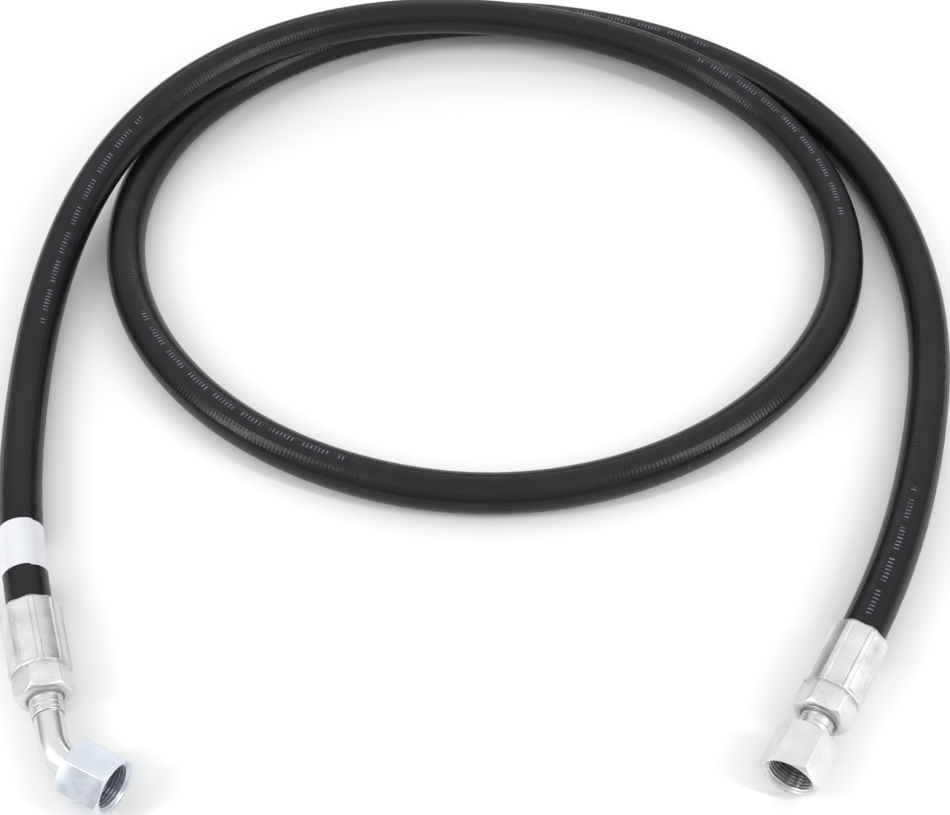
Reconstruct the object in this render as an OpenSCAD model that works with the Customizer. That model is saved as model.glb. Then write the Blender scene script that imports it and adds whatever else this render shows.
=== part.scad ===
// Hydraulic hose assembly: a wire-braid hose laid in one and a half turns,
// with a straight flat-face swivel on one end and a 45 degree one on the other.
// X runs from the elbow end towards the straight end, Z is up, the floor is Z = 0.
// The origin lies on the floor midway between the two end fittings.

/* [Hose] */
// Bore of the hose
hose_bore = 12.7; // [12.4:0.1:13]
// Outside of the rubber inner tube, where the wire braid starts
liner_od = 16; // [15.4:0.2:16.4]
// Outside of the wire braid
braid_od = 17.4; // [17:0.1:17.8]
// Outside of the rubber cover
hose_od = 20; // [19.4:0.1:20.2]
// Sides of the plain tube that stands for each layer
hose_sides = 12; // [8:1:12]

/* [Crimp shells] */
// Across the eight crimped flats
crimp_af = 25.2; // [25:0.1:25.8]
// Across the ridges left between the crimping dies
ridge_od = 26.6; // [26:0.1:26.6]
// Length of the crimped skirt, from the mouth that the hose enters
skirt_len = 35; // [33:0.5:37]
// Length of the uncrimped hexagon shoulder behind the skirt
shoulder_len = 12.5; // [11:0.5:14]
// Across flats of the shoulder
shoulder_af = 22.6; // [22:0.1:23.4]
// Across the rounded corners of the shoulder
shoulder_od = 25.9; // [25:0.1:26.2]
// How deep the hose goes into the shell
hose_insert = 31; // [29:0.5:32]

/* [Stems] */
// Outside of the grooved neck behind the shell
neck_od = 14.4; // [14.2:0.1:15]
// Length of neck that shows
neck_len = 8.5; // [7:0.5:10]
// Outside of the steel tube between the neck and the seal face
pipe_od = 12.7; // [12.5:0.1:12.8]
// Bore through stem, pipe and seal face
pipe_bore = 9.5; // [8:0.1:10]

/* [Elbow] */
// Angle of the bent tube
bend_angle = 45; // [30:1:48]
// Radius of the bend on the tube's centreline
bend_radius = 22; // [19:1:23]
// From the end of the neck to where the two straight lines of the bend meet
bend_reach = 19.5; // [18:0.5:24]
// From there to the back of the nut
nut_setback = 8.5; // [8.5:0.5:14]

/* [Swivel nuts] */
// Across flats, 15/16 inch
nut_af = 23.8; // [23.6:0.1:24]
// Length of the nut
nut_len = 21.5; // [20:0.5:22]
// Thread 13/16-16 UN: outside diameter
thread_od = 20.64; // [20.64]
// Thread pitch
thread_pitch = 1.5875; // [1.5875]
// Thickness of the nut's back wall
nut_wall = 4.5; // [4:0.5:5]
// Radial running clearance of the nut on the pipe
nut_clearance = 0.08; // [0.02:0.01:0.1]

/* [Seal faces] */
// Outside of the flat seal face
face_od = 17.6; // [17:0.1:18]
// Thickness of the seal face's flange
face_len = 4.5; // [4:0.1:4.8]

/* [Label] */
// Width of the wrapped label, along the hose
label_len = 25.5; // [20:0.5:26]
// From the shell's mouth to the label
label_gap = 17.5; // [15:0.5:18]
// Thickness of the label
label_thick = 0.2; // [0.1:0.05:0.3]

/* [Hidden] */
$fn = 64;

// Where each shell's mouth lies, and which way the fitting points from there.
axis_height = ridge_od / 2;
straight_mouth = [185, 32.5, axis_height];
straight_heading = -121;
elbow_mouth = [-182.5, 46.5, axis_height];
elbow_heading = -72;

// How far each crimp, shoulder and nut is turned about its fitting's axis.
straight_crimp_turn = 26;
straight_hex_turn = 31;
straight_nut_turn = 39;
elbow_crimp_turn = 33;
elbow_hex_turn = 14;
elbow_nut_turn = 15;

// The points that steer the free hose, from the elbow end to the straight end.
// It rests on the floor and climbs in one long hump over its own second turn.
route = [
    [-206, 164, 10], [-208, 238, 12], [-192, 308, 26], [-154, 374, 32],
    [-94, 422, 31], [-22, 444, 29], [54, 442, 25], [126, 422, 18],
    [186, 376, 12], [216, 306, 10], [210, 230, 10], [166, 166, 10],
    [104, 124, 10], [30, 106, 10], [-44, 118, 10], [-110, 154, 10],
    [-158, 212, 10], [-178, 286, 10], [-160, 362, 10], [-110, 418, 10],
    [-46, 454, 10], [30, 466, 10], [104, 452, 10], [170, 418, 10],
    [222, 362, 10], [246, 292, 10], [250, 216, 10], [234, 144, 10]
];
// Spacing of the steering points, used for those on the fittings' axes.
route_step = 75;
rings = 52;

// Stations along a fitting, measured from the shell's mouth.
shell_len = skirt_len + shoulder_len;
neck_end = shell_len + neck_len;
nut_gap = 0.5;
face_gap = 0.5;
thread_gap = 0.3;
collar_len = 3;
socket_depth = 3;

// Radii derived from the driving sizes.
bore_r = hose_od / 2 + 0.1;
neck_r = neck_od / 2;
pipe_r = pipe_od / 2;
pipe_bore_r = pipe_bore / 2;
braze_r = pipe_r + 0.05;
thread_minor_r = (thread_od - 1.0825 * thread_pitch) / 2;
thread_mouth_r = thread_od / 2 + 0.6;
countersink = thread_mouth_r - thread_minor_r;
cavity_r = face_od / 2 + 0.4;
nut_corner_r = nut_af / sqrt(3);
bend_tangent = bend_radius * tan(bend_angle / 2);

rubber = [0.13, 0.13, 0.14];
liner = [0.08, 0.08, 0.08];
wire = [0.72, 0.62, 0.36];
paper = [0.93, 0.93, 0.95];
zinc = [0.80, 0.81, 0.79];
blue_zinc = [0.76, 0.80, 0.88];

// ---- The hose: one smooth curve steered by the route's points ----

function heading(angle) = [cos(angle), sin(angle), 0];
function on_axis(mouth, angle, distance) = mouth + distance * heading(angle);

steer = concat(
    [for (k = [1, 0, -1]) on_axis(elbow_mouth, elbow_heading, hose_insert + k * route_step)],
    route,
    [for (k = [-1, 0, 1]) on_axis(straight_mouth, straight_heading, hose_insert + k * route_step)]);
spans = len(steer) - 3;

function weights(t) = [pow(1 - t, 3), 3 * pow(t, 3) - 6 * t * t + 4,
                       -3 * pow(t, 3) + 3 * t * t + 3 * t + 1, pow(t, 3)] / 6;
function slopes(t) = [-pow(1 - t, 2), 3 * t * t - 4 * t, -3 * t * t + 2 * t + 1, t * t] / 2;
function span_at(u) = min(floor(u), spans - 1);
function blend(w, k) = w[0] * steer[k] + w[1] * steer[k + 1] + w[2] * steer[k + 2] + w[3] * steer[k + 3];
function hose_point(u) = blend(weights(u - span_at(u)), span_at(u));
function hose_slope(u) = blend(slopes(u - span_at(u)), span_at(u));
function unit(v) = v / norm(v);
function ring_u(i) = spans * i / (rings - 1);

// One ring of points about the curve, with its first point sideways.
function ring(u, r) =
    let (along = unit(hose_slope(u)), side = unit(cross(along, [0, 0, 1])), up = cross(side, along))
    [for (k = [0 : hose_sides - 1])
        let (a = 360 * k / hose_sides) hose_point(u) + r * (cos(a) * side + sin(a) * up)];

// Faces of a closed pipe whose points are listed ring by ring, outer wall first.
function wall(count, start, flip) =
    [for (i = [0 : count - 2], k = [0 : hose_sides - 1])
        let (n = (k + 1) % hose_sides, a = start + i * hose_sides + k, b = start + i * hose_sides + n)
        for (f = [[a, b, b + hose_sides], [a, b + hose_sides, a + hose_sides]])
            flip ? [f[2], f[1], f[0]] : f];
function rim(outer, inner, flip) =
    [for (k = [0 : hose_sides - 1]) let (n = (k + 1) % hose_sides)
        for (f = [[outer + k, inner + k, inner + n], [outer + k, inner + n, outer + n]])
            flip ? [f[2], f[1], f[0]] : f];

module pipe(outer_rings, inner_rings) {
    count = len(outer_rings);
    inner_start = count * hose_sides;
    last = (count - 1) * hose_sides;
    polyhedron(
        points = concat([for (r = outer_rings) each r], [for (r = inner_rings) each r]),
        faces = concat(
            wall(count, 0, false),
            wall(count, inner_start, true),
            rim(0, inner_start, false),
            rim(last, inner_start + last, true)));
}

module hose_layer(outer_r, inner_r) {
    pipe([for (i = [0 : rings - 1]) ring(ring_u(i), outer_r)],
         [for (i = [0 : rings - 1]) ring(ring_u(i), inner_r)]);
}

// The flats of the inner wall clear the barbs, so its corners stand a little further out.
liner_corner_r = hose_bore / 2 / cos(180 / hose_sides);

module hose_cover() {
    color(rubber) hose_layer(hose_od / 2, braid_od / 2);
}

module wire_braid() {
    color(wire) hose_layer(braid_od / 2, liner_od / 2);
}

module inner_tube() {
    color(liner) hose_layer(liner_od / 2, liner_corner_r);
}

// The label lies on the flat run between the second and third rings.
module id_label() {
    first = ring_u(1);
    reach = ring_u(2) - first;
    function between(r, distance) =
        let (f = ((hose_insert + distance) / route_step - first) / reach)
        (1 - f) * ring(first, r) + f * ring(first + reach, r);
    ends = [label_gap, label_gap + label_len];
    inner = hose_od / 2 + 0.02;
    color(paper)
        pipe([for (d = ends) between(inner + label_thick, d)], [for (d = ends) between(inner, d)]);
}

// ---- The fittings: each is drawn along Z from its shell's mouth ----

module along_straight() {
    translate(straight_mouth) rotate([0, 0, straight_heading]) rotate([0, 90, 0]) children();
}

module along_elbow() {
    translate(elbow_mouth) rotate([0, 0, elbow_heading]) rotate([0, 90, 0]) children();
}

// From the corner of the bend, pointing out along the nut.
module past_bend() {
    translate([0, 0, neck_end + bend_reach]) rotate([-bend_angle, 0, 0]) children();
}

module hexagon_bar(af, length, turn) {
    rotate([0, 0, turn]) cylinder(h = length, r = af / sqrt(3), $fn = 6);
}

// The crimped skirt shows eight flats, and the shoulder behind it keeps its hexagon.
module shell(crimp_turn, hex_turn) {
    lip_r = hose_od / 2 + 1.4;
    lip_len = 3;
    round_r = 4;
    shoulder_r = shoulder_od / 2;
    difference() {
        union() {
            intersection() {
                rotate_extrude() polygon([
                    [0, 0], [lip_r, 0], [ridge_od / 2, lip_len],
                    [ridge_od / 2, skirt_len], [0, skirt_len]]);
                rotate([0, 0, crimp_turn])
                    cylinder(h = skirt_len, r = crimp_af / 2 / cos(22.5), $fn = 8);
            }
            intersection() {
                rotate_extrude() polygon(concat(
                    [[0, skirt_len - 1], [shoulder_r - 0.7, skirt_len - 1],
                     [shoulder_r - 0.7, skirt_len], [shoulder_r, skirt_len + 2]],
                    [for (a = [0 : 15 : 90]) [shoulder_r - round_r + round_r * cos(a),
                                              shell_len - round_r + round_r * sin(a)]],
                    [[0, shell_len]]));
                translate([0, 0, skirt_len - 1]) hexagon_bar(shoulder_af, shoulder_len + 1, hex_turn);
            }
        }
        translate([0, 0, -1]) cylinder(h = hose_insert + collar_len + 1, r = bore_r);
        cylinder(h = shell_len + 1, r = neck_r + 0.05);
    }
}

// Barbed insert, collar against the hose's end, and the neck that leaves the shell.
module stem_body() {
    insert_r = 5.9;
    barb_r = hose_bore / 2 - 0.05;
    barb_pitch = 4;
    barbs = 6;
    groove = 0.3;
    barb_points = [for (k = [0 : barbs - 1], p = [[0, insert_r], [barb_pitch - 1, barb_r], [barb_pitch, barb_r]])
                      [p[1], 4 + k * barb_pitch + p[0]]];
    groove_points = [for (z = [shell_len + 2.6, shell_len + 5.6], p = [[0, 0], [0.3, groove], [1, groove], [1.3, 0]])
                        [neck_r - p[1], z + p[0]]];
    rotate_extrude() polygon(concat(
        [[pipe_bore_r, 2], [insert_r - 0.4, 2]],
        barb_points,
        [[insert_r, 4 + barbs * barb_pitch], [insert_r, hose_insert],
         [hose_od / 2 - 0.2, hose_insert], [hose_od / 2 - 0.2, hose_insert + collar_len],
         [neck_r, hose_insert + collar_len]],
        groove_points,
        [[neck_r, neck_end - 0.4], [neck_r - 0.4, neck_end], [pipe_bore_r, neck_end]]));
}

// Flange with the flat sealing face, brazed over the pipe's end inside the nut.
module seal_face() {
    back = nut_wall + face_gap;
    difference() {
        rotate_extrude() polygon([
            [pipe_bore_r, back], [face_od / 2 - 0.8, back], [face_od / 2, back + 0.8],
            [face_od / 2, back + face_len - 0.3], [face_od / 2 - 0.3, back + face_len],
            [pipe_bore_r, back + face_len]]);
        translate([0, 0, back - 1]) cylinder(h = face_len, r = braze_r);
    }
}

// How far the pipe runs past the back of the nut, to the bottom of its socket.
pipe_overrun = nut_wall + face_gap + face_len - 1 - 0.05;

module nut(turn) {
    back_r = 11.4;
    front_r = 11.7;
    tip_r = nut_corner_r + 0.2;
    thread_start = nut_wall + face_gap + face_len + thread_gap;
    difference() {
        intersection() {
            hexagon_bar(nut_af, nut_len, turn);
            rotate_extrude() polygon([
                [0, 0], [back_r, 0], [tip_r, (tip_r - back_r) * tan(30)],
                [tip_r, nut_len - (tip_r - front_r) * tan(30)], [front_r, nut_len], [0, nut_len]]);
        }
        translate([0, 0, -1]) cylinder(h = nut_wall + 2, r = pipe_r + nut_clearance);
        translate([0, 0, nut_wall]) cylinder(h = nut_len - nut_wall - 5, r = cavity_r);
        translate([0, 0, thread_start]) cylinder(h = nut_len, r = thread_minor_r);
        translate([0, 0, nut_len - countersink])
            cylinder(h = countersink, r1 = thread_minor_r, r2 = thread_mouth_r);
    }
}

module straight_shell() {
    color(zinc) along_straight() shell(straight_crimp_turn, straight_hex_turn);
}

module straight_stem() {
    color(zinc) along_straight() {
        stem_body();
        translate([0, 0, neck_end]) difference() {
            cylinder(h = nut_gap + pipe_overrun, r = pipe_r);
            translate([0, 0, -1]) cylinder(h = nut_len, r = pipe_bore_r);
        }
    }
}

module straight_seal_face() {
    color(zinc) along_straight() translate([0, 0, neck_end + nut_gap]) seal_face();
}

module straight_nut() {
    color(zinc) along_straight() translate([0, 0, neck_end + nut_gap]) nut(straight_nut_turn);
}

module elbow_shell() {
    color(zinc) along_elbow() shell(elbow_crimp_turn, elbow_hex_turn);
}

module elbow_stem() {
    color(zinc) along_elbow() difference() {
        stem_body();
        translate([0, 0, neck_end - socket_depth]) cylinder(h = socket_depth + 1, r = braze_r);
    }
}

// A straight length out of the neck's socket, the bend, and a length into the seal face.
// Bending draws the tube a hair thinner, so the straights lap over the ends of the bend.
module elbow_tube() {
    bend_start = neck_end + bend_reach - bend_tangent;
    tube_start = neck_end - socket_depth + 0.05;
    tube_over = nut_setback + pipe_overrun - bend_tangent;
    draw = 0.02;
    lap = 0.5;
    module bent_bar(r, over) {
        translate([0, 0, tube_start - over])
            cylinder(h = bend_start - tube_start + over + lap, r = r);
        translate([0, bend_radius, bend_start]) rotate([90, 0, 0]) rotate([0, -90, 0])
            rotate_extrude(angle = bend_angle) translate([bend_radius, 0]) circle(r = r - draw);
        past_bend() translate([0, 0, bend_tangent - lap]) cylinder(h = tube_over + over + lap, r = r);
    }
    color(zinc) along_elbow() difference() {
        bent_bar(pipe_r, 0);
        bent_bar(pipe_bore_r, 1);
    }
}

module elbow_seal_face() {
    color(zinc) along_elbow() past_bend() translate([0, 0, nut_setback]) seal_face();
}

module elbow_nut() {
    color(blue_zinc) along_elbow() past_bend() translate([0, 0, nut_setback]) nut(elbow_nut_turn);
}

hose_cover();
wire_braid();
inner_tube();
id_label();
straight_shell();
straight_stem();
straight_seal_face();
straight_nut();
elbow_shell();
elbow_stem();
elbow_tube();
elbow_seal_face();
elbow_nut();
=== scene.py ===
import bpy
import numpy as np
from mathutils import Matrix, Vector


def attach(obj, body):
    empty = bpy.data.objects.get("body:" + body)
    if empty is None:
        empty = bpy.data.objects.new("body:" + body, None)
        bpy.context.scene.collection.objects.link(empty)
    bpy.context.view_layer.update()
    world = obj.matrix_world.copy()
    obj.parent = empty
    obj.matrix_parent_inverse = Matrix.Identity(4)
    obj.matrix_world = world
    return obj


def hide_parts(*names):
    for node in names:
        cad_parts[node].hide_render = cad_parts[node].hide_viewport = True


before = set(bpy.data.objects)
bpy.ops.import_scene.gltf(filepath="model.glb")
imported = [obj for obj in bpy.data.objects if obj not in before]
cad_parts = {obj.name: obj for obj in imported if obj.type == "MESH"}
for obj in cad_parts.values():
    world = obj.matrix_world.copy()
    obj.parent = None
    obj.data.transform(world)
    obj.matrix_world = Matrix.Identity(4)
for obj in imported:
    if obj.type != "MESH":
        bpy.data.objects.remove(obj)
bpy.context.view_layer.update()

# ---- Camera ----
# It looks down along +Y from the side of the two end fittings, so both nut mouths
# open towards it and the loops of hose lie behind them. Its tones are plain, with
# no film curve, so that the white label and the pale floor stay white.
camera_down = np.radians(52)
camera_aim = Vector((0.0154, 0.17, 0))
camera_distance = 0.7899

camera = bpy.data.objects.new("camera", bpy.data.cameras.new("camera"))
bpy.context.scene.collection.objects.link(camera)
camera.data.lens = 60
camera.data.sensor_width = 36
camera_side = Vector((0, -np.cos(camera_down), np.sin(camera_down)))
camera.location = camera_aim + camera_distance * camera_side
camera.rotation_euler = (np.pi / 2 - camera_down, 0, 0)
bpy.context.scene.camera = camera
bpy.context.scene.view_settings.view_transform = "Standard"

# ---- Hose ----
# Half-inch hose of three layers: a smooth rubber inner tube, one braid of
# brass-coated steel wire, and a black rubber cover cured under a woven wrap,
# which leaves a fine imprint. It lies in one and a half loose turns.
mm = 0.001
cover_radius = 10 * mm
braid_radius = 8.7 * mm
liner_radius = 8 * mm
bore_radius = 6.35 * mm
layer_gap = 0.02 * mm
hose_insert = 31 * mm
axis_height = 13.3 * mm
straight_mouth = np.array([0.185, 0.0325, axis_height])
straight_heading = -121
elbow_mouth = np.array([-0.1825, 0.0465, axis_height])
elbow_heading = -72

# The points that steer the free hose, from the elbow end to the straight end.
route = [
    (-0.206, 0.164, 0.010), (-0.208, 0.238, 0.012), (-0.192, 0.308, 0.026), (-0.154, 0.374, 0.032),
    (-0.094, 0.422, 0.031), (-0.022, 0.444, 0.029), (0.054, 0.442, 0.025), (0.126, 0.422, 0.018),
    (0.186, 0.376, 0.012), (0.216, 0.306, 0.010), (0.210, 0.230, 0.010), (0.166, 0.166, 0.010),
    (0.104, 0.124, 0.010), (0.030, 0.106, 0.010), (-0.044, 0.118, 0.010), (-0.110, 0.154, 0.010),
    (-0.158, 0.212, 0.010), (-0.178, 0.286, 0.010), (-0.160, 0.362, 0.010), (-0.110, 0.418, 0.010),
    (-0.046, 0.454, 0.010), (0.030, 0.466, 0.010), (0.104, 0.452, 0.010), (0.170, 0.418, 0.010),
    (0.222, 0.362, 0.010), (0.246, 0.292, 0.010), (0.250, 0.216, 0.010), (0.234, 0.144, 0.010),
]
route_step = 75 * mm
sharp_from = np.radians(34)


def heading(angle):
    """The direction on the floor at an angle in degrees from +X towards +Y."""
    return np.array([np.cos(np.radians(angle)), np.sin(np.radians(angle)), 0])


def on_axis(mouth, angle, distance):
    """A point on a fitting's axis, at a distance from its shell's mouth."""
    return mouth + distance * heading(angle)


steer = np.array(
    [on_axis(elbow_mouth, elbow_heading, hose_insert + k * route_step) for k in (1, 0, -1)]
    + route
    + [on_axis(straight_mouth, straight_heading, hose_insert + k * route_step) for k in (-1, 0, 1)])
spans = len(steer) - 3


def hose_line(stations):
    """Points of the hose's own smooth line, and its direction there, at stations from 0 to spans.
    The line is a uniform cubic B-spline, which the steering points pull on."""
    span = np.minimum(stations.astype(int), spans - 1)
    t = (stations - span)[:, None]
    weights = ((1 - t) ** 3 / 6, (3 * t**3 - 6 * t**2 + 4) / 6,
               (-3 * t**3 + 3 * t**2 + 3 * t + 1) / 6, t**3 / 6)
    slopes = (-((1 - t) ** 2) / 2, (3 * t**2 - 4 * t) / 2, (-3 * t**2 + 2 * t + 1) / 2, t**2 / 2)
    points = sum(w * steer[span + k] for k, w in enumerate(weights))
    along = sum(s * steer[span + k] for k, s in enumerate(slopes))
    return points, along / np.linalg.norm(along, axis=1)[:, None]


def skin(name, rings, body, along=None, capped=False):
    """A mesh of quads between each ring of points and the next, which rides on a body. The last
    ring meets the first, or both are capped. Its map runs once round each ring, and in metres
    from ring to ring."""
    rows, columns = rings.shape[:2]
    gaps = rows - 1 if capped else rows
    if along is None:
        steps = np.linalg.norm(np.roll(rings, -1, axis=0)[:, 0] - rings[:, 0], axis=1)
        along = np.concatenate([[0], np.cumsum(steps)])
    here, down = np.mgrid[0:gaps, 0:columns]
    corners = [(here, down), (here, down + 1), (here + 1, down + 1), (here + 1, down)]
    quads = np.stack([(r % rows) * columns + c % columns for r, c in corners], axis=-1).reshape(-1, 4)
    maps = np.stack([np.stack([c / columns, along[r]], axis=-1) for r, c in corners], axis=2)
    maps = maps.reshape(-1, 4, 2)
    points = rings.reshape(-1, 3)
    faces = [list(q) for q in quads]
    if capped:
        first, last = list(range(columns)), list(range((rows - 1) * columns, rows * columns))
        faces += [first[::-1], last]
        ends = np.stack([np.arange(columns) / columns, np.zeros(columns)], axis=-1)
        maps = np.concatenate([maps.reshape(-1, 2), ends, ends])
    a, b, c, d = (points[quads[:, k]] for k in range(4))
    volume = np.sum(a * np.cross(b, c)) + np.sum(a * np.cross(c, d))
    mesh = bpy.data.meshes.new(name)
    mesh.from_pydata(points, [], faces)
    mesh.uv_layers.new(name="map").data.foreach_set("uv", maps.astype(np.float32).ravel())
    if volume < 0:
        mesh.flip_normals()
    mesh.shade_smooth()
    mesh.set_sharp_from_angle(angle=sharp_from)
    piece = bpy.data.objects.new(name, mesh)
    bpy.context.scene.collection.objects.link(piece)
    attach(piece, body)
    return piece


def hose_layer(name, outer, inner, rings_per_span, sides):
    """One layer of the hose: an outer wall, then an inner wall back to the start."""
    points, along = hose_line(np.linspace(0, spans, spans * rings_per_span + 1))
    side = np.cross(along, (0, 0, 1))
    side /= np.linalg.norm(side, axis=1)[:, None]
    up = np.cross(side, along)
    turn = np.linspace(0, 2 * np.pi, sides, endpoint=False)[None, :, None]
    round_about = np.cos(turn) * side[:, None] + np.sin(turn) * up[:, None]
    outer_wall, inner_wall = (points[:, None] + radius * round_about for radius in (outer, inner))
    rings = np.concatenate([outer_wall, inner_wall[::-1]])
    lengths = np.concatenate([[0], np.cumsum(np.linalg.norm(np.diff(points, axis=0), axis=1))])
    there_and_back = np.concatenate([lengths, lengths[::-1], [0]])
    return skin(name, rings, "hose", along=there_and_back), points, lengths[-1]


def dress(piece, stands_for, finish):
    """Gives a piece its finish, and hides the imported part of the given name, which it takes the place of.
    """
    piece.data.materials.append(finish)
    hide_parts(stands_for)


def node(finish, kind, feeds=(), **settings):
    """Adds one shader node. Each feed gives a socket a value, or another node's output."""
    made = finish.node_tree.nodes.new("ShaderNode" + kind)
    for name, value in settings.items():
        setattr(made, name, value)
    for socket, value in dict(feeds).items():
        if isinstance(value, bpy.types.NodeSocket):
            finish.node_tree.links.new(value, made.inputs[socket])
        else:
            made.inputs[socket].default_value = value
    return made


def calc(finish, operation, *terms):
    """One step of arithmetic between values of the shader's nodes."""
    return node(finish, "Math", dict(enumerate(terms)), operation=operation).outputs[0]


def blend(finish, share, low, high):
    """Mixes two colours by a share, from 0 for the low one to 1 for the high one."""
    return node(finish, "Mix", {0: share, 6: low, 7: high}, data_type="RGBA").outputs[2]


def spread(finish, value, low, high, to_low=0.0, to_high=1.0):
    """Stretches the range low to high of a value onto another range."""
    feeds = {"Value": value, "From Min": low, "From Max": high, "To Min": to_low, "To Max": to_high}
    return node(finish, "MapRange", feeds).outputs[0]


def grain(finish, where, scale, detail=3.0):
    """Even noise from 0 to 1 in space, finer as the scale grows."""
    return node(finish, "TexNoise", {"Vector": where, "Scale": scale, "Detail": detail}).outputs[0]


def new_finish(name, **sockets):
    """A material and its shader, with the values of the sockets that are named."""
    finish = bpy.data.materials.new(name)
    finish.use_nodes = True
    shader = finish.node_tree.nodes["Principled BSDF"]
    for socket, value in sockets.items():
        shader.inputs[socket.replace("_", " ")].default_value = value
    return finish, shader


def wear(finish, shader, colour, roughness, height, depth):
    """Feeds the shader a colour, a roughness and a relief of the given depth in metres."""
    bump = node(finish, "Bump", {"Height": height, "Distance": depth, "Strength": 1.0})
    finish.node_tree.links.new(colour, shader.inputs["Base Color"])
    finish.node_tree.links.new(roughness, shader.inputs["Roughness"])
    finish.node_tree.links.new(bump.outputs[0], shader.inputs["Normal"])


def cover_rubber():
    """Satin black rubber, with the diamonds of its curing wrap and a faint grey lay line."""
    diamonds_round = 28
    diamond_pitch = 2.1 * mm
    lay_repeat = 0.5
    run_pitch = 18.5 * mm
    tick_pitch = 2.1 * mm
    tick_half_height = 1.2 * mm
    finish, shader = new_finish("cover_rubber", IOR=1.5, Specular_IOR_Level=0.29)
    solid = node(finish, "TexCoord").outputs["Object"]
    place = node(finish, "SeparateXYZ", {0: node(finish, "UVMap").outputs[0]})
    turn, length = place.outputs[0], place.outputs[1]
    round_wave = calc(finish, "COSINE", calc(finish, "MULTIPLY", turn, 2 * np.pi * diamonds_round))
    long_wave = calc(finish, "COSINE", calc(finish, "MULTIPLY", length, 2 * np.pi / diamond_pitch))
    diamonds = calc(finish, "ADD", round_wave, long_wave)
    patchy = spread(finish, grain(finish, solid, 90), 0.3, 0.7, 0.25, 1.0)
    fine = calc(finish, "MULTIPLY", grain(finish, solid, 2600), 0.8)
    height = calc(finish, "ADD", calc(finish, "MULTIPLY", diamonds, patchy), fine)

    # Lay line: plain ticks in runs, which come back every half metre on the hose's upper side.
    # It drifts round the hose as it goes, and its ink is worn.
    from_first = calc(finish, "ADD", length, 0.305)
    repeat = calc(finish, "FRACT", calc(finish, "DIVIDE", from_first, lay_repeat))
    in_run = calc(finish, "FRACT", calc(finish, "DIVIDE", length, run_pitch))
    in_tick = calc(finish, "FRACT", calc(finish, "DIVIDE", length, tick_pitch))
    lay_angle = spread(finish, length, 0.32, 0.7, 66 / 360, 85 / 360)
    across = calc(finish, "ABSOLUTE", calc(finish, "SUBTRACT", turn, lay_angle))
    ink = spread(finish, grain(finish, solid, 700), 0.35, 0.6, 0.25, 0.9)
    half_height = tick_half_height / (2 * np.pi * cover_radius)
    for value, limit in ((repeat, 0.29), (in_run, 0.76), (in_tick, 0.3), (across, half_height)):
        ink = calc(finish, "MULTIPLY", ink, calc(finish, "LESS_THAN", value, limit))

    dusty = spread(finish, grain(finish, solid, 26, 5), 0.35, 0.75)
    rubber = blend(finish, dusty, (0.0056, 0.0053, 0.0072, 1), (0.0095, 0.0090, 0.0120, 1))
    colour = blend(finish, ink, rubber, (0.22, 0.24, 0.29, 1))
    satin = spread(finish, grain(finish, solid, 240, 4), 0.25, 0.75, 0.24, 0.36)
    rough = calc(finish, "ADD", satin, calc(finish, "MULTIPLY", ink, 0.2))
    wear(finish, shader, colour, rough, height, 0.028 * mm)
    return finish


def braid_wire():
    """Brass-coated steel wires, laid in two crossing spirals, with painted shade darkening the gaps between
    them.
    """
    strands_round = 24
    strand_lay = 1.6 * mm
    finish, shader = new_finish("braid_wire", Metallic=1.0)
    place = node(finish, "SeparateXYZ", {0: node(finish, "UVMap").outputs[0]})
    strands = calc(finish, "MULTIPLY", place.outputs[0], strands_round)
    lay = calc(finish, "DIVIDE", place.outputs[1], strand_lay)
    one = calc(finish, "SINE", calc(finish, "MULTIPLY", calc(finish, "ADD", strands, lay), 2 * np.pi))
    other = calc(finish, "SINE", calc(finish, "MULTIPLY", calc(finish, "SUBTRACT", strands, lay), 2 * np.pi))
    weave_and_gap_shade = spread(finish, calc(finish, "MAXIMUM", one, other), -1, 1)
    # Painted shade: the colour falls to a dark brown in the low gaps between the wires.
    colour = blend(finish, weave_and_gap_shade, (0.10, 0.07, 0.03, 1), (0.62, 0.50, 0.26, 1))
    wear(finish, shader, colour, spread(finish, weave_and_gap_shade, 0, 1, 0.6, 0.3), weave_and_gap_shade, 0.2 * mm)
    return finish


def liner_rubber():
    """Smooth black rubber with the faint bloom of its extrusion."""
    finish, shader = new_finish("liner_rubber", IOR=1.5)
    solid = node(finish, "TexCoord").outputs["Object"]
    bloom = grain(finish, solid, 60, 5)
    colour = blend(finish, bloom, (0.010, 0.010, 0.010, 1), (0.030, 0.029, 0.028, 1))
    rough = spread(finish, bloom, 0.3, 0.7, 0.35, 0.5)
    wear(finish, shader, colour, rough, grain(finish, solid, 900), 0.02 * mm)
    return finish


hose_cover, hose_path, hose_length = hose_layer(
    "cover", cover_radius, braid_radius + layer_gap, rings_per_span=25, sides=56)
wire_braid, _, _ = hose_layer("braid", braid_radius, liner_radius + layer_gap, rings_per_span=12, sides=32)
inner_tube, _, _ = hose_layer("liner", liner_radius, bore_radius, rings_per_span=12, sides=32)
dress(hose_cover, "hose_cover", cover_rubber())
dress(wire_braid, "wire_braid", braid_wire())
dress(inner_tube, "inner_tube", liner_rubber())

# ---- Label ----
# A strip of white film with glue on its back, wrapped once round the hose just
# behind the elbow's shell. It was put on a little askew, so the end that laps
# over its start sits nearer the shell.
label_width = 25.5 * mm
label_middle = 30.25 * mm
label_film = 0.11 * mm
label_glue = 0.03 * mm
label_start = 44
label_lap = 392
label_lapped = 404
label_end = 431
label_skew = 0.9 * mm
label_corner = 2 * mm


def smooth_step(value, low, high):
    """Rises smoothly from 0 to 1 as a value goes from low to high."""
    share = np.clip((value - low) / (high - low), 0, 1)
    return share**2 * (3 - 2 * share)


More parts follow.
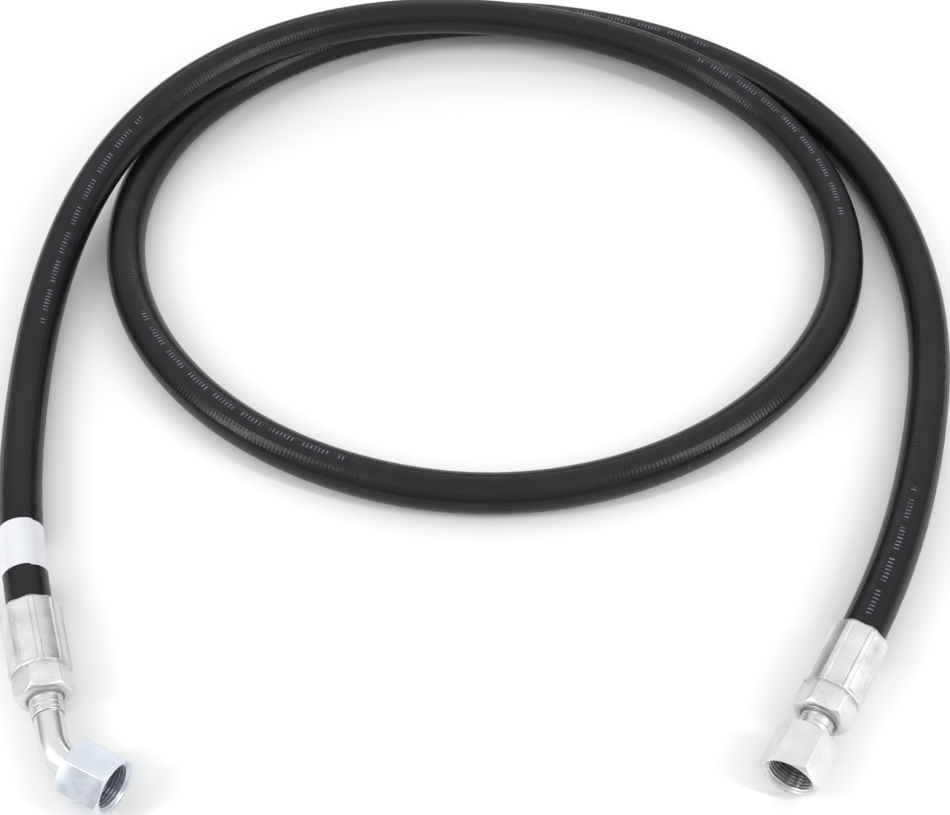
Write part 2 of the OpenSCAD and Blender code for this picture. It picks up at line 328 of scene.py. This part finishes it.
label_turn = np.radians(np.linspace(label_start, label_end, 150))
from_ends = np.minimum(label_turn - label_turn[0], label_turn[-1] - label_turn) * cover_radius
in_corner = np.clip(label_corner - from_ends, 0, label_corner)
half_width = label_width / 2 - label_corner + np.sqrt(label_corner**2 - in_corner**2)
lift = label_glue + 1.15 * label_film * smooth_step(np.degrees(label_turn), label_lap, label_lapped)
askew = label_skew * (np.degrees(label_turn) - 90) / 360
across_strip = np.linspace(-1, 1, 13)
label_line, label_away = hose_line(np.linspace(0, 2, 201))
label_line_length = np.concatenate([[0], np.cumsum(np.linalg.norm(np.diff(label_line, axis=0), axis=1))])


def label_wall(rise):
    """Points of the film's face that lies a rise above its glued side, along its turn and across it."""
    radius = (cover_radius + lift + rise)[:, None]
    along = hose_insert + label_middle - askew[:, None] + half_width[:, None] * across_strip
    centre, away = (np.stack([np.interp(along, label_line_length, line[:, k]) for k in range(3)], axis=-1)
                    for line in (label_line, label_away))
    side = np.cross(away, (0, 0, 1))
    side /= np.linalg.norm(side, axis=-1)[..., None]
    turn = label_turn[:, None, None]
    return centre + radius[..., None] * (np.cos(turn) * side + np.sin(turn) * np.cross(side, away))


def label_film_finish():
    """White film, faintly blue, with a soft sheen and the slightest ripple over the hose."""
    finish, shader = new_finish("label_film", IOR=1.48, Coat_Weight=0.35, Coat_Roughness=0.18)
    solid = node(finish, "TexCoord").outputs["Object"]
    ripple = grain(finish, solid, 160)
    stain = spread(finish, grain(finish, solid, 70, 4), 0.35, 0.8)
    colour = blend(finish, stain, (0.69, 0.705, 0.735, 1), (0.62, 0.635, 0.67, 1))
    wear(finish, shader, colour, spread(finish, ripple, 0.3, 0.7, 0.36, 0.5), ripple, 0.12 * mm)
    return finish


label_faces = np.concatenate([label_wall(label_film), label_wall(0)[:, ::-1]], axis=1)
label = skin("label", label_faces, "hose", capped=True)
dress(label, "id_label", label_film_finish())

# ---- Crimp shells ----
# Steel sleeves, zinc plated, pressed onto the hose by eight dies. The dies leave
# hollow lands with a ridge between each two, and the shoulder behind them keeps
# the hexagon and the domed end that it was turned with.
skirt_length = 35 * mm
shell_length = 47.5 * mm
land_radius = 12.6 * mm
ridge_radius = 13.3 * mm
ridge_half_width = 1.05 * mm
mouth_radius = 11.3 * mm
crease_depth = 0.22 * mm
shoulder_flat = 11.3 * mm
shoulder_radius = 12.95 * mm
dome_radius = 4 * mm

# The shell's inside as radius and station in millimetres: the hollow round the
# neck, the neck's bore, and the hose's bore out to the mouth.
shell_inside = [(8.35, 47.45), (8.05, 47.1), (7.75, 46.6), (7.5, 46.3), (7.25, 46.2), (7.25, 34),
                (10.1, 34), (10.1, 2), (10.2, 0.9)]


def fitting_place(mouth, angle):
    """A fitting is drawn along Z from its shell's mouth, with X pointing at the floor."""
    lie_down = Matrix.Rotation(np.radians(angle), 4, "Z") @ Matrix.Rotation(np.pi / 2, 4, "Y")
    return Matrix.Translation(mouth) @ lie_down


straight_place = fitting_place(straight_mouth, straight_heading)
elbow_place = fitting_place(elbow_mouth, elbow_heading)


def placed(place, radius, turn, station):
    """Points at a radius, a turn in degrees and a station along the fitting's axis."""
    local = np.stack(np.broadcast_arrays(
        radius * np.cos(np.radians(turn)), radius * np.sin(np.radians(turn)), station), axis=-1)
    return local @ np.array(place.to_3x3()).T + np.array(place.translation)


def soft_least(a, b, softness):
    """The lesser of two radii, with the edge between them rounded."""
    share = np.clip(0.5 + (b - a) / (2 * softness), 0, 1)
    return b + (a - b) * share - softness * share * (1 - share)


def off_nearest(turn, first, step):
    """Degrees from the nearest of the marks at first, first + step and so on."""
    return (turn - first + step / 2) % step - step / 2


def shell_rings(place, crimp_turn, hex_turn):
    """A shell's rings, from its mouth along the outside to the neck, and back through the bore."""
    near_ridge = crimp_turn + 45 * np.arange(8)[:, None] + np.arange(-8, 8.1, 0.5)
    near_corner = hex_turn + 60 * np.arange(6)[:, None] + np.arange(-3, 3.1, 1)
    turn = np.concatenate([np.arange(0, 360, 2), near_ridge.ravel() % 360, near_corner.ravel() % 360])
    turn = np.unique(np.round(turn, 1))[None, :]
    off_ridge = off_nearest(turn, crimp_turn, 45)
    to_land = np.radians(22.5 - np.abs(off_ridge))
    land = land_radius * (1 + 0.45 * (1 / np.cos(to_land) - 1))
    ridge_share = 1 - smooth_step(np.abs(np.radians(off_ridge)) * ridge_radius,
                                  ridge_half_width - 0.12 * mm, ridge_half_width + 0.22 * mm)
    off_corner = off_nearest(turn, hex_turn, 60)
    hexagon = shoulder_flat / np.cos(np.radians(30 - np.abs(off_corner)))
    scallop = 0.8 * mm * smooth_step(np.abs(off_ridge), 3, 20)

    skirt_z = np.array([0, 0.12, 0.35, 0.7, 1.2, 1.8, 2.4, 3, 3.6, 4.4, 5.5, 8, 12, 16, 20, 24, 28, 31,
                        32.5, 33.5, 34.1, 34.5, 34.8, 34.95])[:, None] * mm
    roll = mouth_radius + 2.3 * mm * np.sin(np.pi / 2 * np.clip(skirt_z / (3.6 * mm), 0, 1))
    roll = roll - 0.3 * mm * np.clip(1 - skirt_z / (0.35 * mm), 0, 1)
    end_lip = 0.18 * mm * smooth_step(skirt_z, skirt_length - 1.6 * mm, skirt_length - 0.6 * mm)
    end_round = 0.15 * mm * smooth_step(skirt_z, skirt_length - 0.3 * mm, skirt_length)
    off_crease = np.abs(np.radians(off_ridge)) * ridge_radius - ridge_half_width - 0.35 * mm
    crease = crease_depth * np.exp(-((off_crease / (0.2 * mm)) ** 2)) * smooth_step(skirt_z, 1 * mm, 5 * mm)
    pressed = land + end_lip - crease
    body = pressed + (ridge_radius - pressed) * ridge_share - end_round
    skirt_r = soft_least(body, roll, 0.25 * mm)
    skirt_z = skirt_z + scallop * np.clip(1 - skirt_z / (3 * mm), 0, 1)

    shoulder_z = np.array([35.02, 35.2, 35.5, 36, 36.6, 37.3, 38.4, 39.6, 40.8, 42, 42.8, 43.3])[:, None] * mm
    shoulder_rise = smooth_step(shoulder_z, skirt_length - 0.4 * mm, skirt_length + 2.2 * mm)
    shoulder_limit = shoulder_radius - 0.8 * mm * (1 - shoulder_rise)
    dome_turn = np.radians(np.arange(0, 91, 6))[:, None]
    dome_z = shell_length - dome_radius + dome_radius * np.sin(dome_turn)
    dome_limit = shoulder_radius - dome_radius + dome_radius * np.cos(dome_turn)
    shoulder_z = np.concatenate([shoulder_z, dome_z])
    shoulder_r = soft_least(hexagon, np.concatenate([shoulder_limit, dome_limit]), 0.3 * mm)

    inside = np.array(shell_inside) * mm
    flat = np.zeros_like(turn)
    radius = np.concatenate([skirt_r, shoulder_r, inside[:, :1] + flat])
    station = np.concatenate([skirt_z + flat, shoulder_z + flat, inside[:, 1:] + flat])
    return placed(place, radius, turn, station)


def zinc_plate():
    """Zinc on pressed steel: satin silver, cloudy, with small pits and the scuffs of the dies."""
    finish, shader = new_finish("zinc_plate", Metallic=1.0)
    solid = node(finish, "TexCoord").outputs["Object"]
    cloud = spread(finish, grain(finish, solid, 95, 5), 0.3, 0.7)
    speck = spread(finish, grain(finish, solid, 620, 2), 0.70, 0.78)
    colour = blend(finish, cloud, (0.64, 0.645, 0.65, 1), (0.80, 0.805, 0.81, 1))
    colour = blend(finish, speck, colour, (0.30, 0.29, 0.27, 1))
    rough = spread(finish, grain(finish, solid, 170, 4), 0.3, 0.7, 0.34, 0.48)
    relief = calc(finish, "ADD", grain(finish, solid, 330, 4), calc(finish, "MULTIPLY", speck, -0.6))
    wear(finish, shader, colour, rough, relief, 0.06 * mm)
    return finish


zinc = zinc_plate()
straight_shell = skin("straight_crimp_shell", shell_rings(straight_place, crimp_turn=26, hex_turn=31), "hose")
elbow_shell = skin("elbow_crimp_shell", shell_rings(elbow_place, crimp_turn=33, hex_turn=14), "hose")
dress(straight_shell, "straight_shell", zinc)
dress(elbow_shell, "elbow_shell", zinc)

# ---- Stems ----
# Turned steel tails with six barbs that hold the inner tube, a collar that the
# hose's cut end meets, and a grooved neck that leaves the shell. The straight
# one carries on as a pipe to its seal face.
neck_end = 56 * mm
pipe_radius = 6.35 * mm
pipe_bore = 4.75 * mm
nut_gap = 0.5 * mm
pipe_overrun = 8.45 * mm


def turned(place, outline, columns=96):
    """Rings of a part turned on a lathe, from its outline of radius and station in millimetres."""
    outline = np.array(outline) * mm
    turn = np.linspace(0, 360, columns, endpoint=False)[None, :]
    return placed(place, outline[:, :1] + 0 * turn, turn, outline[:, 1:] + 0 * turn)


def groove(radius, start, width, depth):
    """A round-bottomed groove in a turned part, as points of its outline."""
    steps = np.linspace(0, np.pi, 9)
    return [(radius - depth * np.sin(s), start + width * (0.5 - 0.5 * np.cos(s))) for s in steps]


def round_edge(radius, station, corner):
    """A turned part's rounded outer edge, from its side to its end face."""
    steps = np.radians(np.arange(0, 91, 18))
    return [(radius - corner + corner * np.cos(s), station - corner + corner * np.sin(s)) for s in steps]


# Outlines as radius and station in millimetres, from the tail's tip to the neck and on.
barb = ((5.9, 0.05), (6.25, 2.9), (6.3, 3.1), (6.3, 3.95))
barbs = [(r, 4 + 4 * k + z) for k in range(6) for r, z in barb]
tail = [(4.75, 2), (5.4, 2), (5.5, 2.1), (5.5, 3.9)] + barbs
collar = [(5.9, 28.1), (5.9, 31), (9.7, 31), (9.8, 31.2), (9.8, 33.8), (9.7, 34), (7.2, 34)]
neck = ([(7.2, 46.5)] + groove(7.2, 47.9, 1.1, 0.7) + groove(7.2, 51.5, 0.9, 0.45)
        + groove(7.2, 53.9, 0.7, 0.3) + round_edge(7.2, 56, 0.4))
straight_pipe = [(6.9, 56), (6.55, 56), (6.35, 56.2), (6.35, 64.7), (6.2, 64.9), (4.9, 64.9), (4.75, 64.8)]
elbow_socket = [(6.42, 56), (6.4, 55.9), (6.4, 53), (4.75, 53)]


def line_grain(finish, along, scale, detail=3.0):
    """Noise that varies along one coordinate only, as fine rings or streaks do."""
    feeds = {"W": along, "Scale": scale, "Detail": detail}
    return node(finish, "TexNoise", feeds, noise_dimensions="1D").outputs[0]


def turned_zinc():
    """Zinc on turned steel: brighter, with the tool's fine rings round it."""
    finish, shader = new_finish("turned_zinc", Metallic=1.0)
    solid = node(finish, "TexCoord").outputs["Object"]
    length = node(finish, "SeparateXYZ", {0: node(finish, "UVMap").outputs[0]}).outputs[1]
    rings = line_grain(finish, length, 5200, 2)
    cloud = grain(finish, solid, 130, 4)
    colour = blend(finish, cloud, (0.60, 0.605, 0.605, 1), (0.76, 0.765, 0.77, 1))
    rough = spread(finish, grain(finish, solid, 260), 0.3, 0.7, 0.28, 0.40)
    wear(finish, shader, colour, rough, calc(finish, "ADD", rings, cloud), 0.012 * mm)
    return finish


bright_zinc = turned_zinc()
stem = tail + collar + neck
straight_stem = skin("straight_stem_and_neck", turned(straight_place, stem + straight_pipe), "hose")
elbow_stem = skin("elbow_stem_and_neck", turned(elbow_place, stem + elbow_socket), "hose")
dress(straight_stem, "straight_stem", bright_zinc)
dress(elbow_stem, "elbow_stem", bright_zinc)

# ---- Bent tube ----
# A short steel tube, bent by 45 degrees on a mandrel, brazed into the neck at one
# end and into the seal face at the other. The bend flattens it a hair.
bend_angle = 45
bend_radius = 22 * mm
bend_reach = 19.5 * mm
nut_setback = 8.5 * mm
socket_depth = 2.95 * mm
bend_flattening = 0.015

past_bend = (elbow_place @ Matrix.Translation((0, 0, neck_end + bend_reach))
             @ Matrix.Rotation(-np.radians(bend_angle), 4, "X"))


def tube_stations():
    """Centre, direction and flattening of the tube in the fitting's own space, from neck to face."""
    tangent = bend_radius * np.tan(np.radians(bend_angle / 2))
    bend_start = neck_end + bend_reach - tangent
    stations = [((0, 0, z), 0.0, 0.0) for z in np.linspace(neck_end - socket_depth, bend_start, 8)]
    for angle in np.radians(np.arange(1.5, bend_angle, 1.5)):
        centre = (0, bend_radius * (1 - np.cos(angle)), bend_start + bend_radius * np.sin(angle))
        stations.append((centre, angle, np.sin(np.pi * angle / np.radians(bend_angle))))
    turned_by = np.radians(bend_angle)
    for distance in np.linspace(tangent, nut_setback + pipe_overrun, 8):
        centre = (0, distance * np.sin(turned_by), neck_end + bend_reach + distance * np.cos(turned_by))
        stations.append((centre, turned_by, 0.0))
    return stations


def tube_rings(radius):
    """Rings of the tube's outer or inner wall, squared to its line at each station."""
    turn = np.linspace(0, 2 * np.pi, 72, endpoint=False)
    rings = []
    for centre, angle, bent in tube_stations():
        wide = radius * (1 + bend_flattening * bent) * np.cos(turn)
        high = radius * (1 - bend_flattening * bent) * np.sin(turn)
        across, along = centre[1] + high * np.cos(angle), centre[2] - high * np.sin(angle)
        rings.append(np.stack([wide, across, along], axis=-1))
    return np.array(rings) @ np.array(elbow_place.to_3x3()).T + np.array(elbow_place.translation)


def drawn_zinc():
    """Zinc on drawn tube: smooth and shiny, with faint streaks along it."""
    finish, shader = new_finish("drawn_zinc", Metallic=1.0)
    solid = node(finish, "TexCoord").outputs["Object"]
    turn = node(finish, "SeparateXYZ", {0: node(finish, "UVMap").outputs[0]}).outputs[0]
    streak = line_grain(finish, turn, 160)
    cloud = grain(finish, solid, 80, 4)
    colour = blend(finish, cloud, (0.64, 0.645, 0.65, 1), (0.78, 0.785, 0.79, 1))
    rough = spread(finish, cloud, 0.3, 0.7, 0.26, 0.36)
    relief = calc(finish, "ADD", streak, grain(finish, solid, 300))
    wear(finish, shader, colour, rough, relief, 0.01 * mm)
    return finish


tube_walls = np.concatenate([tube_rings(pipe_radius), tube_rings(pipe_bore)[::-1]])
bent_tube = skin("bent_tube", tube_walls, "hose")
dress(bent_tube, "elbow_tube", drawn_zinc())

# ---- Seal faces ----
# Steel flanges brazed over the pipes' ends inside the nuts. Their flat faces meet
# the O-ring of the mating adapter, and they keep the nuts from coming off.
face_outline = [(4.75, 9.4), (4.85, 9.5)] + round_edge(8.8, 9.5, 0.3)[::-1] + [
    (8.8, 5.8), (8.0, 5.0), (6.5, 5.0), (6.4, 5.1), (6.4, 8.5), (4.75, 8.5)]

straight_nut_place = straight_place @ Matrix.Translation((0, 0, neck_end + nut_gap))
elbow_nut_place = past_bend @ Matrix.Translation((0, 0, nut_setback))
straight_face = skin("straight_flat_face", turned(straight_nut_place, face_outline), "hose")
elbow_face = skin("elbow_flat_face", turned(elbow_nut_place, face_outline), "hose")
dress(straight_face, "straight_seal_face", bright_zinc)
dress(elbow_face, "elbow_seal_face", bright_zinc)

# ---- Swivel nuts ----
# Nuts of 15/16 inch hexagon bar, threaded 13/16-16 and chamfered at both ends,
# free to turn on the pipe. The elbow's has the bluer plating of the two.
nut_flat = 11.9 * mm
nut_length = 21.5 * mm
nut_corner = 0.35 * mm
back_edge = 11.4 * mm
front_edge = 11.7 * mm
chamfer_slope = np.tan(np.radians(30))
thread_pitch = 1.5875 * mm
thread_minor = 9.4607 * mm
thread_major = 10.32 * mm
thread_mouth = 10.92 * mm
thread_start = 9.9 * mm
countersink_start = 20.04 * mm


def hexagon_radius(off_corner):
    """Radius of a hexagon with rounded corners, at degrees from its nearest corner."""
    off = np.radians(np.abs(off_corner))
    centre = (nut_flat - nut_corner) / np.cos(np.pi / 6)
    tangent = np.arctan2(nut_corner / 2, centre + nut_corner * np.cos(np.pi / 6))
    on_flat = nut_flat / np.cos(np.pi / 6 - off)
    under_root = np.maximum(nut_corner**2 - (centre * np.sin(off)) ** 2, 0)
    return np.where(off < tangent, centre * np.cos(off) + np.sqrt(under_root), on_flat)


def thread_radius(station, turn):
    """The wall of a right-hand internal thread: flat crests, flanks at 30 degrees, flat roots."""
    phase = (station / thread_pitch - turn / 360) % 1
    off_crest = np.abs(phase - 0.5) * thread_pitch
    depth = (off_crest - thread_pitch / 8) / np.tan(np.radians(30))
    return thread_minor + np.clip(depth, 0, thread_major - thread_minor)


def nut_rings(place, first_corner):
    """The nut's rings, and their map: up the outside, then on down the bore."""
    half_side = np.array([0, 0.35, 0.75, 1.6, 3, 5, 7.5, 10.5, 14, 18, 22, 26])
    side = np.concatenate([half_side, [30], 60 - half_side[:0:-1]])
    turn = (first_corner + np.concatenate([60 * k + side for k in range(6)]))[None, :]
    hexagon = hexagon_radius(off_nearest(turn, first_corner, 60))
    flat = 0 * turn
    soft = 0.14 * mm
    back_rise = (hexagon - back_edge) * chamfer_slope
    front_drop = nut_length - (hexagon - front_edge) * chamfer_slope
    flat_height = front_drop - back_rise - 2 * soft

    # Up the outside, with softened edges: the back chamfer, the flats and the front chamfer.
    wall = [(back_edge - 0.15 * mm + flat, flat), (back_edge + flat, 0.02 * mm + flat),
            (back_edge + 0.12 * mm + flat, 0.09 * mm + flat),
            (hexagon - soft, back_rise - soft * chamfer_slope),
            (hexagon - 0.03 * mm, back_rise), (hexagon, back_rise + soft)]
    wall += [(hexagon, back_rise + soft + flat_height * share) for share in (0.25, 0.5, 0.75)]
    wall += [(hexagon, front_drop - soft), (hexagon - 0.03 * mm, front_drop),
             (hexagon - soft, front_drop + soft * chamfer_slope),
             (front_edge + 0.12 * mm + flat, nut_length - 0.09 * mm + flat),
             (front_edge + flat, nut_length - 0.02 * mm + flat),
             (front_edge - 0.15 * mm + flat, nut_length + flat),
             (thread_mouth + 0.12 * mm + flat, nut_length + flat),
             (thread_mouth + 0.03 * mm + flat, nut_length - 0.03 * mm + flat)]
    outside = len(wall)

    # Down the bore: the countersink and the thread, then the cavity and the back bore.
    sink_slope = (thread_mouth - thread_minor) / (nut_length - countersink_start)
    for station in np.arange(nut_length - 0.1 * mm, thread_start, -thread_pitch / 16):
        run_out = smooth_step(station, thread_start + 0.2 * mm, thread_start + thread_pitch)
        bored = thread_minor + (thread_radius(station, turn) - thread_minor) * run_out
        sunk = thread_minor + sink_slope * (station - countersink_start)
        wall.append((np.maximum(bored, sunk), station + flat))
    for radius, station in ((9.46, 9.8), (9.2, 9.7), (9.2, 4.6), (9.1, 4.5), (6.5, 4.5), (6.43, 4.4),
                            (6.43, 0.3), (6.6, 0.1), (6.8, 0)):
        wall.append((radius * mm + flat, station * mm + flat))
    radius, station = (np.array(part)[:, 0] for part in zip(*wall))
    along = np.concatenate([station[:outside, 0], 2 * nut_length - station[outside:, 0], [2 * nut_length]])
    return placed(place, radius, turn, station), along


def machined_zinc(name, dull, bright):
    """Zinc on machined bar: even, with the bar's faint drawing lines on its flats, and painted shade that
    darkens it down the bore.
    """
    finish, shader = new_finish(name, Metallic=1.0)
    solid = node(finish, "TexCoord").outputs["Object"]
    place = node(finish, "SeparateXYZ", {0: node(finish, "UVMap").outputs[0]})
    turn, length = place.outputs[0], place.outputs[1]
    drawn = line_grain(finish, turn, 420)
    # Painted shade: its share rises from the nut's front edge down into the bore.
    bore_shade = spread(finish, length, nut_length + 0.8 * mm, nut_length + 10 * mm, 0, 0.85)
    cloud = spread(finish, grain(finish, solid, 110, 4), 0.3, 0.7)
    rough = spread(finish, grain(finish, solid, 210, 3), 0.3, 0.7, 0.34, 0.44)
    relief = calc(finish, "ADD", drawn, grain(finish, solid, 420, 3))
    # Painted shade: the colour goes to dark grey down the bore, where shade falls inside the nut.
    colour = blend(finish, bore_shade, blend(finish, cloud, dull, bright), (0.14, 0.15, 0.155, 1))
    wear(finish, shader, colour, rough, relief, 0.008 * mm)
    return finish


nut_walls, nut_map = nut_rings(straight_nut_place, first_corner=39)
straight_nut = skin("straight_hexagon_nut", nut_walls, "straight_swivel", along=nut_map)
dress(straight_nut, "straight_nut",
      machined_zinc("machined_zinc", dull=(0.68, 0.69, 0.695, 1), bright=(0.78, 0.79, 0.80, 1)))
nut_walls, nut_map = nut_rings(elbow_nut_place, first_corner=15)
elbow_nut = skin("elbow_hexagon_nut", nut_walls, "elbow_swivel", along=nut_map)
dress(elbow_nut, "elbow_nut",
      machined_zinc("blue_machined_zinc", dull=(0.66, 0.705, 0.78, 1), bright=(0.76, 0.805, 0.88, 1)))

# ---- Floor and lights ----
# A plain pale floor under a bright, soft sky that darkens towards its edge. Two
# narrow strips stand low in front and a wide one low behind, and they draw thin
# lines of light along the hose and on the edges of the metal.
floor_size = 40
floor_drop = 0.2 * mm


def strip_light(name, place, aim, width, height, power):
    """A long soft lamp in metres and watts, turned towards a point."""
    light = bpy.data.objects.new(name, bpy.data.lights.new(name, "AREA"))
    bpy.context.scene.collection.objects.link(light)
    light.data.shape = "RECTANGLE"
    light.data.size = width
    light.data.size_y = height
    light.data.energy = power
    light.location = place
    light.rotation_euler = (Vector(aim) - Vector(place)).to_track_quat("-Z", "Y").to_euler()


bpy.ops.mesh.primitive_plane_add(size=floor_size, location=(0, 0, -floor_drop))
floor = bpy.context.object
floor.name = "floor"
floor_paint, floor_shader = new_finish("floor_paint", Roughness=0.9, Specular_IOR_Level=0.1)
mottle = grain(floor_paint, node(floor_paint, "TexCoord").outputs["Object"], 3)
pale = blend(floor_paint, mottle, (0.86, 0.86, 0.86, 1), (0.88, 0.88, 0.88, 1))
floor_paint.node_tree.links.new(pale, floor_shader.inputs["Base Color"])
floor.data.materials.append(floor_paint)

middle = (0, 0.2, 0)
strip_light("left_strip", (-1.3, -0.35, 0.85), middle, width=0.02, height=1.3, power=10)
strip_light("right_strip", (1.3, -0.35, 0.85), middle, width=0.02, height=1.3, power=10)
strip_light("back_strip", (0, 1.9, 0.9), middle, width=1.6, height=0.10, power=3)

world = bpy.data.worlds.new("studio")
bpy.context.scene.world = world
world.use_nodes = True

# The sky grows brighter with height, and what lies below the horizon is even.
upward = node(world, "SeparateXYZ", {0: node(world, "TexCoord").outputs["Generated"]}).outputs[2]
sky = spread(world, upward, 0.15, 0.74, to_low=0.26, to_high=1.08)
below = calc(world, "MULTIPLY", calc(world, "LESS_THAN", upward, 0.0), 0.6)
glow = world.node_tree.nodes["Background"]
glow.inputs["Color"].default_value = (1, 1, 1, 1)
world.node_tree.links.new(calc(world, "MAXIMUM", sky, below), glow.inputs["Strength"])
